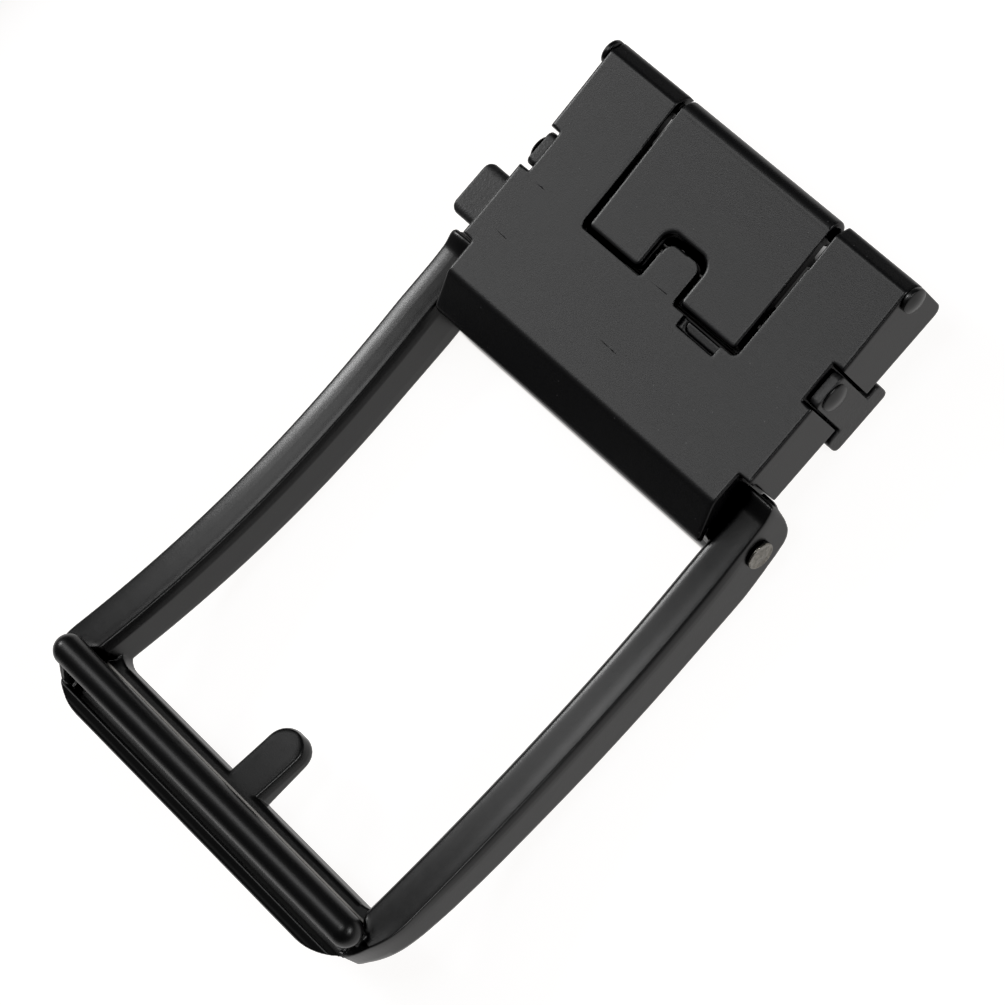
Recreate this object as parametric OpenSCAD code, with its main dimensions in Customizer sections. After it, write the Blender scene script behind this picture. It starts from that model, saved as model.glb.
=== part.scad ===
// Ratchet belt buckle seen from the back: a cast frame with a round rod and a peg, hinged to a
// folded steel box with a clamp flap, a release lever and its side tab.
// X runs along the strap from the rod end to the clamp end, Y across the strap, Z up.

/* [Housing] */
// Width across the side walls
box_w = 37.5; // [34:0.1:40]
// Station of the clamp end
box_end = 25.0; // [24:0.1:27]
// Station of the step where the plate narrows to the neck
step_x = 3.23; // [2.5:0.01:4]
// How far the neck steps in on each side
step_in = 1.36; // [1.0:0.01:1.8]
// Depth of the side walls below the plate
wall_h = 5.65; // [5:0.05:6.5]
// Thickness of the sheet
sheet = 1.0; // [0.8:0.05:1.2]
// Radius of the hollow curve of the back plate
plate_r = 260.4; // [200:0.1:400]

/* [Flap] */
// Half width of the opening in the plate
opening_half = 10.0; // [9:0.05:10.5]
// Near edge of the opening
opening_x = 10.35; // [10:0.05:11]
// Free edge of the flap
flap_x = 10.85; // [10.7:0.05:11.5]
// Outer radius of the rolled eye
eye_r = 1.28; // [1.2:0.02:1.4]

/* [Lever] */
// Length of the release tab past the wall
tab_reach = 6.55; // [4:0.05:8]
// Length of the release tab along the strap
tab_len = 5.6; // [4:0.1:6]
// Width of the ear that shows in the wall's slot
ear_w = 3.5; // [3:0.05:3.6]
// Clearance of the ear in its slot on each side
slot_gap = 0.27; // [0.25:0.01:0.4]

/* [Frame] */
// Width across the frame at its hinge ears
frame_w = 42.1; // [41.5:0.1:43]
// Station of the outer end
frame_end = -51.05; // [-53:0.05:-50]
// Inner half width at the hinge ears
rail_in = 17.74; // [17.7:0.01:17.95]
// Radius of the rails' back curve
back_r = 115; // [110:1:125]
// Radius of the rails' front curve
front_r = 106; // [100:1:115]
// How far the end bar lies below the rails' back curve
bar_drop = 2.6; // [2:0.1:3]

/* [Rod] */
// Length of the rod over its round ends
rod_len = 41.4; // [40:0.1:42]
// Radius of the rod
rod_r = 1.47; // [1.3:0.01:1.6]
// Station of the rod's axis
rod_x = -46.87; // [-47.5:0.01:-46.5]
// Height of the rod's axis above the plate's near end
rod_z = 3.29; // [3:0.01:3.6]

/* [Pins] */
// Radius of the flap and lever pins
pin_r = 0.65; // [0.5:0.05:0.65]
// Radius of the hinge rivets
rivet_r = 0.9; // [0.7:0.05:1.1]
// Running clearance of every pin in its bore
fit = 0.04; // [0.02:0.01:0.06]

/* [Hidden] */

METAL_BLACK = [0.2, 0.2, 0.21];
STEEL = [0.45, 0.43, 0.4];

// lowest level of the resting buckle: the frame's belly and the lever's feet
rest_z = -8.6;
// height given to every cut that runs right through
through = 40;
round_fn = 64;
curve_fn = 720;

wall_out = box_w / 2;
wall_in = wall_out - sheet;
neck_half = wall_out - step_in;
wall_x = 3.45;
cheek_in = neck_half - sheet;

// lowest points of the two long curves of the frame
back_low = [-13.5, -3.4];
front_low = [-12.7, rest_z];
rail_out = frame_w / 2;

// hinge axes as [x, z]
frame_hinge = [-0.8, -5.2];
flap_hinge = [box_end - 1.3, -0.2];
lever_hinge = [13.3, -1.42];

// slot of the lever's ear: where it starts, and how far it cuts in from the side
slot_x0 = lever_hinge[0] - ear_w / 2 - slot_gap + 0.05;
slot_w = ear_w + 2 * slot_gap;
slot_depth = 1.24;
slot_floor = wall_out - slot_depth;
boss_in = slot_floor - 1.1;

// heads of the pins and rivets as [radius, outer face]
flap_head = [1.25, 19.5];
lever_head = [1.33, 19.2];
rivet_head = [1.35, 21.5];

// the release tab lies under the wall and reaches out past it
tab_x0 = 4.1;
tab_top = -6.3;
tab_t = 1.0;
tab_in = 9;
foot_x0 = 9.9;
foot_len = 6.75;
foot_top = -6.35;
foot_in = slot_floor + 0.09;
cross_t = 0.9;

// origin: centre of the whole buckle's box, on the surface that it rests on
origin = [(frame_end + box_end) / 2, (wall_out + tab_reach - rivet_head[1]) / 2, rest_z];

module placed() {
    translate([-origin[0], -origin[1], -origin[2]]) children();
}

// a profile drawn in X and Z, run across the strap from y0 to y1
module across(y0, y1) {
    translate([0, y1, 0]) rotate([90, 0, 0]) linear_extrude(y1 - y0) children();
}

// an outline drawn in X and Y, run up from z0 to z1
module upright(z0, z1) {
    translate([0, 0, z0]) linear_extrude(z1 - z0) children();
}

// the same piece on both sides
module both_sides() {
    children();
    mirror([0, 1, 0]) children();
}

// round bar along Y between two stations
module bar_y(at, r, y0, y1) {
    translate([at[0], y1, at[1]]) rotate([90, 0, 0]) cylinder(h = y1 - y0, r = r, $fn = round_fn);
}

// round head with a slightly domed face
module head_y(at, r, y0, y1) {
    edge = 0.18;
    bar_y(at, r, y0, y1 - edge);
    translate([at[0], y1 - edge, at[1]]) rotate([-90, 0, 0])
        cylinder(h = edge, r1 = r, r2 = r - 0.3, $fn = round_fn);
}

// square corner that a round one replaces: what is left outside the arc at (x, y)
module corner_waste(x, y, r, sx, sy) {
    translate([x, y]) scale([sx, sy]) difference() {
        translate([0, 0]) square([2 * r, 2 * r]);
        circle(r = r, $fn = round_fn);
    }
}

// Housing

// the hollow curve of the back plate, one sheet thick, between two stations
module plate_band(x0, x1) {
    intersection() {
        difference() {
            translate([0, plate_r]) circle(r = plate_r + sheet, $fn = curve_fn);
            translate([0, plate_r]) circle(r = plate_r, $fn = curve_fn);
        }
        translate([x0, -3]) square([x1 - x0, 6]);
    }
}

// everything under the plate's upper face, for the walls
module under_plate() {
    difference() {
        translate([-5, -12]) square([40, 15]);
        translate([0, plate_r]) circle(r = plate_r, $fn = curve_fn);
    }
}

// plate, its bevelled near edge and the knuckles that hold the flap's pin
module plate_body() {
    bevel = [3.4, 2.44];
    bevel_t = [0.58, 0.81];
    across(-neck_half, neck_half) plate_band(0, step_x + 1);
    across(-neck_half, neck_half) polygon([
        [0.01, 0],
        [-bevel[0], -bevel[1]],
        [-bevel[0] + bevel_t[0], -bevel[1] - bevel_t[1]],
        [0.4, -sheet]
    ]);
    across(-wall_out, wall_out) plate_band(step_x, box_end - 1.2);
    both_sides() across(opening_half + 0.3, wall_out) knuckle_profile();
}

module knuckle_profile() {
    bevel_top = 1.08;
    polygon([
        [box_end - 2.6, 0.9],
        [box_end - 1.23, bevel_top],
        [box_end, bevel_top - 1.0],
        [box_end, -1.1],
        [box_end - 0.5, -1.5],
        [box_end - 2.4, -1.5]
    ]);
}

// opening for the flap, with the tongue left standing in it
module flap_opening() {
    tongue_half = 2.0;
    tongue_x = 14.45;
    root_r = 0.5;
    r = 0.6;
    difference() {
        union() {
            translate([opening_x + r, -opening_half]) square([20, 2 * opening_half]);
            translate([opening_x, -opening_half + r]) square([2, 2 * (opening_half - r)]);
            for (s = [-1, 1]) translate([opening_x + r, s * (opening_half - r)])
                circle(r = r, $fn = round_fn);
        }
        translate([opening_x - 1, -tongue_half]) square([tongue_x - 0.7 - opening_x + 1, 2 * tongue_half]);
        translate([opening_x - 1, -tongue_half + 0.7])
            square([tongue_x - opening_x + 1, 2 * tongue_half - 1.4]);
        for (s = [-1, 1]) translate([tongue_x - 0.7, s * (tongue_half - 0.7)])
            circle(r = 0.7, $fn = round_fn);
        // round roots of the tongue
        for (s = [-1, 1]) corner_waste(opening_x + root_r, s * (tongue_half + root_r), root_r, -1, -s);
    }
}

// outline of a side wall, with its rounded far corner
module wall_profile() {
    r = 0.9;
    intersection() {
        under_plate();
        union() {
            translate([wall_x, -wall_h]) square([box_end - wall_x - r, 8]);
            translate([wall_x, -wall_h + r]) square([box_end - wall_x, 6.2 - r]);
            translate([box_end - r, -wall_h + r]) circle(r = r, $fn = round_fn);
        }
    }
}

// side wall, the bend that steps it in, the hinge cheek beside the neck and the pin boss
module side_wall() {
    across(wall_in, wall_out) difference() {
        wall_profile();
        // the far top corner is cut on the plate's bevel
        polygon([[box_end - 1.23, 1.08], [box_end + 1, -0.75], [box_end + 1, 3], [box_end - 1.23, 3]]);
    }
    across(cheek_in, wall_out) translate([wall_x, -wall_h]) square([sheet + 0.15, wall_h - 0.3]);
    across(cheek_in, neck_half) {
        polygon([
            [-2.6, -3.2],
            [0.3, -0.6],
            [4.6, -0.6],
            [4.6, -wall_h],
            [3.4, -wall_h],
            [frame_hinge[0], frame_hinge[1] - 2.2],
            [frame_hinge[0] - 2.2, frame_hinge[1]]
        ]);
        translate(frame_hinge) circle(r = 2.2, $fn = round_fn);
    }
    across(boss_in, wall_in + 0.1) translate([lever_hinge[0] - 3.7, -wall_h + 0.15])
        square([7.4, wall_h - 0.4]);
}

module housing() {
    notch = [1.19, 4.7, 0.5];
    notch_y = -8.3;
    color(METAL_BLACK) placed() difference() {
        union() {
            plate_body();
            both_sides() side_wall();
        }
        upright(-2, 4) flap_opening();
        // shallow fingernail notch beside the opening
        translate([opening_x - notch[0], notch_y, 0.17 - notch[2]]) cube([notch[0] + 1, notch[1], 3]);
        both_sides() {
            // slot of the lever's ear, open at the side and below
            translate([slot_x0, slot_floor, -10]) cube([slot_w, 5, 20]);
        }
        bar_y(flap_hinge, pin_r + fit, -through, through);
        bar_y(lever_hinge, pin_r + fit, -through, through);
        bar_y(frame_hinge, rivet_r + fit, -through, through);
    }
}

// Clamp flap and its pin

// free edge, side edges and the notch that clears the tongue
module flap_outline() {
    y0 = -9.65;
    y1 = 9.4;
    cleft = [-2.45, 2.95, 15.2];
    r = 0.8;
    mouth_r = 0.55;
    corner_r = 0.4;
    difference() {
        translate([flap_x, y0]) square([box_end - flap_x + 2, y1 - y0]);
        translate([flap_x - 1, cleft[0]]) square([cleft[2] - r - flap_x + 1, cleft[1] - cleft[0]]);
        translate([flap_x - 1, cleft[0] + r])
            square([cleft[2] - flap_x + 1, cleft[1] - cleft[0] - 2 * r]);
        for (y = [cleft[0] + r, cleft[1] - r]) translate([cleft[2] - r, y])
            circle(r = r, $fn = round_fn);
        corner_waste(flap_x + mouth_r, cleft[0] - mouth_r, mouth_r, -1, 1);
        corner_waste(flap_x + mouth_r, cleft[1] + mouth_r, mouth_r, -1, -1);
        corner_waste(flap_x + corner_r, y0 + corner_r, corner_r, -1, -1);
        corner_waste(flap_x + corner_r, y1 - corner_r, corner_r, -1, 1);
    }
}

module clamp_flap() {
    jaw_x = 20.6;
    jaw_z = -2.4;
    color(METAL_BLACK) placed() difference() {
        intersection() {
            union() {
                across(-opening_half, opening_half) plate_band(flap_x, flap_hinge[0]);
                bar_y(flap_hinge, eye_r, -opening_half, opening_half);
                // jaw that presses on the strap
                across(-opening_half, opening_half)
                    polygon([[jaw_x - 0.8, 0.3], [jaw_x + 1.0, 0.3], [jaw_x + 0.35, jaw_z], [jaw_x, jaw_z]]);
            }
            upright(-5, 5) flap_outline();
        }
        bar_y(flap_hinge, pin_r + fit, -through, through);
    }
}

// pin with a head on each side, the heads just clear of the faces they sit on
module headed_pin(at, head) {
    bar_y(at, pin_r, -wall_out - 0.2, wall_out + 0.2);
    both_sides() head_y(at, head[0], wall_out + fit, head[1]);
}

module flap_pin() {
    color(METAL_BLACK) placed() headed_pin(flap_hinge, flap_head);
}

module lever_pin() {
    color(METAL_BLACK) placed() headed_pin(lever_hinge, lever_head);
}

// Release lever

// ear and foot of the lever, seen from the side
module lever_side() {
    ear_top = -0.2;
    r = 0.6;
    x0 = slot_x0 + slot_gap;
    translate([x0, foot_top - 0.5]) square([ear_w, ear_top - r - foot_top + 0.5]);
    translate([x0 + r, foot_top]) square([ear_w - 2 * r, ear_top - foot_top]);
    for (x = [x0 + r, x0 + ear_w - r]) translate([x, ear_top - r]) circle(r = r, $fn = round_fn);
    foot_profile(rest_z, foot_top);
}

module foot_profile(z0, z1) {
    r = 0.6;
    translate([foot_x0 + r, z0]) square([foot_len - 2 * r, z1 - z0]);
    translate([foot_x0, z0 + r]) square([foot_len, z1 - z0 - 2 * r]);
    for (x = [foot_x0 + r, foot_x0 + foot_len - r], z = [z0 + r, z1 - r])
        translate([x, z]) circle(r = r, $fn = round_fn);
}

// tab with its rolled long edges and round outer corners
module release_tab() {
    r = tab_t / 2;
    corner = 1.0;
    tab_y1 = wall_out + tab_reach;
    intersection() {
        across(tab_in, tab_y1) {
            translate([tab_x0 + r, tab_top - tab_t]) square([tab_len - 2 * r, tab_t]);
            for (x = [tab_x0 + r, tab_x0 + tab_len - r]) translate([x, tab_top - r])
                circle(r = r, $fn = round_fn);
        }
        upright(tab_top - 2, tab_top + 1) difference() {
            translate([tab_x0 - 1, tab_in - 1]) square([tab_len + 2, tab_y1 - tab_in + 1]);
            corner_waste(tab_x0 + corner, tab_y1 - corner, corner, -1, 1);
            corner_waste(tab_x0 + tab_len - corner, tab_y1 - corner, corner, 1, 1);
        }
    }
}

module release_lever() {
    pawl = [0.9, 26, 1.7];
    color(METAL_BLACK) placed() difference() {
        union() {
            both_sides() across(foot_in, wall_out) lever_side();
            // cross plate between the feet
            translate([foot_x0 + 0.6, -wall_out + 0.6, rest_z])
                cube([foot_len - 1.2, 2 * wall_out - 1.2, cross_t]);
            // plain edge that catches the strap's teeth
            translate([foot_x0 + 0.8, -pawl[1] / 2, rest_z]) cube([pawl[0], pawl[1], cross_t + pawl[2]]);
            release_tab();
            // web from the tab down to the cross plate
            translate([tab_x0 + tab_len - 1.0, tab_in, rest_z + 0.02])
                cube([2.4, foot_in - tab_in - 0.3, tab_top - 0.3 - rest_z]);
        }
        bar_y(lever_hinge, pin_r + fit, -through, through);
    }
}

// Frame, rod and hinge rivets

// outline of one rail seen from above: straight beside the hinge, then slowly spreading
module rail_plan() {
    bend_in = [-16, 473];
    bend_out = [-18, 568];
    nose_r = 1.0;
    tip = 3.4;
    difference() {
        union() {
            translate([bend_in[0], rail_in]) square([tip - bend_in[0], 8]);
            intersection() {
                translate([frame_end - 1, rail_in - 1]) square([bend_in[0] - frame_end + 1.01, 8]);
                translate([bend_in[0], rail_in + bend_in[1]]) circle(r = bend_in[1], $fn = 4 * curve_fn);
            }
        }
        translate([bend_out[0], rail_out]) square([tip - bend_out[0] + 1, 8]);
        translate([bend_out[0], rail_out + bend_out[1]]) circle(r = bend_out[1], $fn = 4 * curve_fn);
        // the ear's end steps out to pass beside the housing's wall
        translate([2.95, rail_in - 1]) square([2, wall_out + 0.2 - rail_in + 1]);
        corner_waste(tip - nose_r, rail_out - nose_r, nose_r, 1, 1);
        end_corner();
    }
}

// what the round outer corner takes away
module end_corner() {
    r = 4.5;
    y_out = 21.4;
    corner_waste(frame_end + r, y_out - r, r, -1, 1);
}

// all that lies behind the frame's front face, which levels out under the end bar
module front_side() {
    level = [-44.1, -3.83];
    translate([front_low[0], front_low[1] + front_r]) circle(r = front_r, $fn = curve_fn);
    polygon([level, [frame_end - 1, -2.6], [frame_end - 1, 6], [level[0], 6]]);
    polygon([front_low, [4, rest_z], [4, 6], [front_low[0], 6]]);
}

// side view of the frame between its two long curves, with the round hinge ear
module side_profile() {
    intersection() {
        front_side();
        difference() {
            polygon([
                [frame_end, 6],
                [2.9, 6],
                [3.4, -1.46],
                [3.28, -2.91],
                [2.86, -5.07],
                [2.19, -6.87],
                [1.39, -7.77],
                [0, -8.2],
                [-2, -8.45],
                [-4, rest_z],
                [frame_end, rest_z]
            ]);
            difference() {
                translate([back_low[0], back_low[1] + back_r]) circle(r = back_r, $fn = curve_fn);
                // low ridge across the ear's end
                polygon([[1.5, -2.45], [2.9, -1.5], [3.6, -1.46], [3.6, -6], [1.5, -6]]);
            }
        }
    }
}

// section of the end bar: ledge beside the window, trough under the rod and raised lip
module bar_profile() {
    ledge_x = -45.9;
    window_x = -45.1;
    floor_z = -2.1;
    lip_r = 0.45;
    lip_x = -50.25;
    lip_z = -0.2;
    nose = [frame_end + 1.15, -1.9, 1.15];
    intersection() {
        front_side();
        union() {
            difference() {
                translate([ledge_x - 0.2, -6]) square([window_x - ledge_x + 0.2, 6]);
                translate([back_low[0], back_low[1] + back_r])
                    circle(r = back_r + bar_drop, $fn = curve_fn);
            }
            translate([nose[0], -6]) square([ledge_x - nose[0], 6 + floor_z]);
            polygon([
                [lip_x + 0.75, floor_z - 0.5],
                [lip_x + 0.65, floor_z],
                [lip_x + lip_r, lip_z],
                [lip_x - lip_r, lip_z],
                [frame_end, nose[1]],
                [nose[0], -4]
            ]);
            translate([lip_x, lip_z]) circle(r = lip_r, $fn = round_fn);
            translate([nose[0], nose[1]]) circle(r = nose[2], $fn = round_fn);
        }
    }
}

module end_bar() {
    reach = 21.4;
    window_r = 2.3;
    window_half = 18.65;
    window_x = -45.1;
    intersection() {
        across(-reach, reach) bar_profile();
        upright(-8, 4) difference() {
            translate([frame_end - 1, -reach]) square([12, 2 * reach]);
            end_corner();
            mirror([0, 1]) end_corner();
        }
    }
    // round inner corners of the window
    both_sides() intersection() {
        across(0, reach) difference() {
            front_side();
            translate([back_low[0], back_low[1] + back_r]) circle(r = back_r + bar_drop, $fn = curve_fn);
        }
        upright(-8, 4) difference() {
            translate([window_x - 0.3, window_half - window_r]) square([window_r + 0.3, window_r + 0.4]);
            translate([window_x + window_r, window_half - window_r]) circle(r = window_r, $fn = round_fn);
        }
    }
}

// short flat peg that points from the end bar into the window
module peg() {
    half = 2.0;
    tip = -38.75;
    root = -45.4;
    intersection() {
        across(-half, half) difference() {
            polygon([[root, 1], [tip + 0.5, 1], [tip + 0.5, -4.75], [root, -3.9]]);
            translate([back_low[0], back_low[1] + back_r]) circle(r = back_r + bar_drop, $fn = curve_fn);
        }
        upright(-6, 2) {
            translate([root, -half]) square([tip - half - root, 2 * half]);
            translate([tip - half, 0]) circle(r = half, $fn = round_fn);
        }
    }
}

// pocket round the rod's end in the top of the rail
module rod_pocket() {
    pocket_r = rod_r + 0.35;
    pocket_floor = 0.95;
    dome_y = rod_len / 2 - rod_r;
    upright(pocket_floor, pocket_floor + 5) {
        translate([rod_x, dome_y]) circle(r = pocket_r, $fn = round_fn);
        translate([rod_x - pocket_r, 10]) square([2 * pocket_r, dome_y - 10]);
    }
    // beyond the rod the rail drops to the trough
    upright(-2.1, 6) translate([frame_end - 2, 10]) square([rod_x - 1.35 - frame_end + 2, 20]);
}

// small saddle that carries the rod in its pocket
module rod_saddle() {
    translate([rod_x - 1.0, 18.7, -1]) cube([2.0, 1.5, 3.2]);
}

module frame() {
    color(METAL_BLACK) placed() difference() {
        union() {
            both_sides() {
                difference() {
                    intersection() {
                        across(0, 30) side_profile();
                        upright(-12, 8) rail_plan();
                    }
                    rod_pocket();
                }
                rod_saddle();
            }
            end_bar();
            peg();
        }
        rod_solid(rod_r + 0.02);
        bar_y(frame_hinge, rivet_r + fit, -through, through);
    }
}

module rod_solid(r) {
    dome_y = rod_len / 2 - rod_r;
    bar_y([rod_x, rod_z], r, -dome_y, dome_y);
    both_sides() translate([rod_x, dome_y, rod_z]) sphere(r = r, $fn = round_fn);
}

module guide_rod() {
    color(METAL_BLACK) placed() rod_solid(rod_r);
}

// shank through cheek and ear, a head outside the ear and a formed tail inside the cheek
module hinge_rivet() {
    tail = 0.6;
    bar_y(frame_hinge, rivet_r, cheek_in - 0.2, rail_out + 0.2);
    head_y(frame_hinge, rivet_head[0], rail_out + fit, rivet_head[1]);
    bar_y(frame_hinge, rivet_r + 0.4, cheek_in - fit - tail, cheek_in - fit);
}

module hinge_rivet_left() {
    color(STEEL) placed() hinge_rivet();
}

module hinge_rivet_right() {
    color(STEEL) placed() mirror([0, 1, 0]) hinge_rivet();
}

frame();
guide_rod();
housing();
clamp_flap();
flap_pin();
release_lever();
lever_pin();
hinge_rivet_left();
hinge_rivet_right();
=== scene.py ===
"""Looks of the ratchet belt buckle: rounded metal pieces, materials, studio and camera."""

import math

import bmesh
import bpy
from mathutils import Matrix, Vector


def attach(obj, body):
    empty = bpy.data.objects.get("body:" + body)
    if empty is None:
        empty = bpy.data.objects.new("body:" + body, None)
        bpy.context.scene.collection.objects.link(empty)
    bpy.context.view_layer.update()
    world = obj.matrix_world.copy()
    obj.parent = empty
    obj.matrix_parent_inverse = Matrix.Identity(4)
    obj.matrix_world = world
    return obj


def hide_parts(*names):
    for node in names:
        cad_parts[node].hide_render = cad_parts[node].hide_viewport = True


MM = 0.001

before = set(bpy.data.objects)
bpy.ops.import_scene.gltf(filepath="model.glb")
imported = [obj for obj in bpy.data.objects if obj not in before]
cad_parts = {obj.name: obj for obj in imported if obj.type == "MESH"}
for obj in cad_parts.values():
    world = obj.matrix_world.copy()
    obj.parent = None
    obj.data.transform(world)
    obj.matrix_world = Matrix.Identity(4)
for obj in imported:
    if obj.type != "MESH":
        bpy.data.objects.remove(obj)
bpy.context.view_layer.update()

# Sizes and places in millimetres. X runs from the bend at the back plate's near end towards the
# flap, Y to the left and Z up.
ORIGIN = (-13.025, 1.9, -8.6)
REST_Z = -8.6

# Housing: side walls, neck, hollow back plate, lever slots, and nail notch as (x, x, y, y)
WALL_OUT = 18.75
SHEET = 1.0
WALL_IN = WALL_OUT - SHEET
NECK_HALF = 17.39
STEP_X = 3.23
WALL_X = 3.45
WALL_H = 5.65
BOX_END = 25.0
PLATE_R = 260.4
SLOT = (11.33, 15.37)
LEFT_SLOT_X = SLOT[0] - 0.2
SLOT_FLOOR = WALL_OUT - 1.24
NOTCH = (9.16, 10.9, -8.3, -3.6)

# Frame: end bar and level rails
FRAME_END = -51.05
WINDOW_X = -45.1
BAR_DROP = 2.6
BAR_DEPTH = (-8, 4)
LEFT_CORNER_R = 5.8
RIGHT_CORNER_R = 7.8
RAIL_IN = 17.72
RAIL_OUT = 21.1
RAIL_PLAY = 0.13
FOOT_R = 0.22
FLARE_X = -17.0
FLARE_SCALE = 20000.0
EAR_STEP_X = 3.115

# Long curves of the rails' back and front, each with its lowest point, and where the front levels
BACK_R = 115.0
BACK_LOW = (-13.5, -3.4)
FRONT_R = 106.0
FRONT_LOW = (-12.7, REST_Z)
LEVEL = (-44.1, -3.83)
LEVEL_SLOPE = 0.16

# Front face of the frame from its lowest stretch round the hinge ears, as (x, height)
EAR_FRONT = [
    (FRONT_LOW[0], REST_Z), (-4, REST_Z), (-2, -8.45), (0, -8.2), (1.3, -7.85), (1.95, -7.4),
    (2.4, -6.7), (2.7, -5.9), (2.9, -5.07), (3.25, -2.91), (3.4, -1.9),
]

# Rod, and the axes of the pins and rivets as (x, height)
ROD_R = 1.47
ROD_LEN = 41.4
ROD_AT = (-46.87, 3.29)
FRAME_HINGE = (-0.8, -5.2)
FLAP_HINGE = (23.7, -0.2)
LEVER_HINGE = (13.3, -1.42)
PIN_R = 0.65
PIN_BORE_R = 0.69
RIVET_BORE_R = 0.94
THROUGH = 40.0

# Flap and lever
FLAP_SIDES = (-9.38, 9.4)
TAB_ROOT_Y = 9


# Outlines

def arc(cx, cy, r, a0, a1, n):
    """Points along an arc, with angles in degrees."""
    return [
        (cx + r * math.cos(math.radians(a0 + (a1 - a0) * i / n)),
         cy + r * math.sin(math.radians(a0 + (a1 - a0) * i / n)))
        for i in range(n + 1)
    ]


def quarter(steps):
    """Angles from 0 to a quarter turn, in radians."""
    return [math.pi / 2 * k / steps for k in range(steps + 1)]


def rounded(points, radii, steps=5):
    """The outline with each corner rounded by its own radius."""
    out = []
    count = len(points)
    for i, (x, y) in enumerate(points):
        r = radii[i]
        if r <= 0:
            out.append((x, y))
            continue
        here = Vector((x, y))
        back = (Vector(points[i - 1]) - here).normalized()
        ahead = (Vector(points[(i + 1) % count]) - here).normalized()
        half = math.acos(max(-1.0, min(1.0, back.dot(ahead)))) / 2
        reach = r / math.tan(half)
        middle = here + (back + ahead).normalized() * (r / math.sin(half))
        p0 = here + back * reach - middle
        p1 = here + ahead * reach - middle
        turn = p0.angle_signed(p1)
        for k in range(steps + 1):
            q = p0.copy()
            q.rotate(Matrix.Rotation(-turn * k / steps, 2))
            out.append(tuple(middle + q))
    return out


def curve_z(low, r, x, offset=0.0):
    """Height of a long curve of radius r whose lowest point is low."""
    big = r + offset
    return low[1] + r - math.sqrt(big * big - (x - low[0]) ** 2)


def plate_z(x):
    """Height of the back plate's hollow upper face."""
    return PLATE_R - math.sqrt(PLATE_R * PLATE_R - x * x)


def span(x0, x1, step):
    """Even places from x0 to x1, about a step apart."""
    n = max(1, round(abs(x1 - x0) / step))
    return [x0 + (x1 - x0) * i / n for i in range(n + 1)]


# Solids

def place(x, y, z):
    """A point given in millimetres, in metres of the CAD's frame."""
    return Vector(((x - ORIGIN[0]) * MM, (y - ORIGIN[1]) * MM, (z - ORIGIN[2]) * MM))


def mesh_object(bm, name):
    """Makes an object of the finished bmesh."""
    me = bpy.data.meshes.new(name)
    bm.to_mesh(me)
    bm.free()
    obj = bpy.data.objects.new(name, me)
    bpy.context.scene.collection.objects.link(obj)
    return obj


def prism(points, lo, hi, axis):
    """An outline run along an axis. Along Y it is drawn in X and Z, along Z in X and Y."""
    bm = bmesh.new()

    def at(p, t):
        return place(p[0], t, p[1]) if axis == "y" else place(p[0], p[1], t)

    rings = [[bm.verts.new(at(p, t)) for p in points] for t in (lo, hi)]
    bm.faces.new(rings[0])
    bm.faces.new(rings[1][::-1])
    for i in range(len(points)):
        j = (i + 1) % len(points)
        bm.faces.new((rings[0][j], rings[0][i], rings[1][i], rings[1][j]))
    bmesh.ops.recalc_face_normals(bm, faces=bm.faces)
    return mesh_object(bm, "work")


def cube(lo, hi):
    """A box between two corners."""
    x0, y0, z0 = lo
    x1, y1, z1 = hi
    return prism([(x0, y0), (x1, y0), (x1, y1), (x0, y1)], z0, z1, "z")


def lathe_y(at, profile, name="work", steps=72):
    """A round solid about an axis along Y. The profile is a list of (y, radius)."""
    bm = bmesh.new()
    rings = []
    for y, r in profile:
        if r <= 1e-6:
            rings.append([bm.verts.new(place(at[0], y, at[1]))])
            continue
        rings.append([
            bm.verts.new(place(at[0] + r * math.cos(2 * math.pi * k / steps), y,
                               at[1] + r * math.sin(2 * math.pi * k / steps)))
            for k in range(steps)
        ])
    for a, b in zip(rings, rings[1:]):
        for k in range(steps):
            m = (k + 1) % steps
            if len(a) == 1:
                bm.faces.new((a[0], b[k], b[m]))
            elif len(b) == 1:
                bm.faces.new((a[k], b[0], a[m]))
            else:
                bm.faces.new((a[k], b[k], b[m], a[m]))
    for ring in (rings[0], rings[-1]):
        if len(ring) > 1:
            bm.faces.new(ring)
    bmesh.ops.recalc_face_normals(bm, faces=bm.faces)
    return mesh_object(bm, name)


def bore(at, r):
    """A round cutter along Y through the whole buckle."""
    return lathe_y(at, [(-THROUGH, r), (THROUGH, r)], steps=32)


def loft(rings):
    """A closed skin through rings that all have the same number of points."""
    bm = bmesh.new()
    rows = [[bm.verts.new(place(*p)) for p in ring] for ring in rings]
    for a, b in zip(rows, rows[1:]):
        for i in range(len(a)):
            j = (i + 1) % len(a)
            bm.faces.new((a[i], a[j], b[j], b[i]))
    bm.faces.new(rows[0])
    bm.faces.new(rows[-1])
    bmesh.ops.recalc_face_normals(bm, faces=bm.faces)
    if bm.calc_volume(signed=True) < 0:
        bmesh.ops.reverse_faces(bm, faces=bm.faces)
    return mesh_object(bm, "work")


def inset(points, reach):
    """The outline moved inwards, by a reach that may change from point to point."""
    out = []
    count = len(points)
    for i, p in enumerate(points):
        here = Vector(p)
        back = (here - Vector(points[i - 1])).normalized()
        ahead = (Vector(points[(i + 1) % count]) - here).normalized()
        n0 = Vector((-back.y, back.x))
        n1 = Vector((-ahead.y, ahead.x))
        out.append(tuple(here + (n0 + n1) / (1 + n0.dot(n1)) * reach(p)))
    return out


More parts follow.
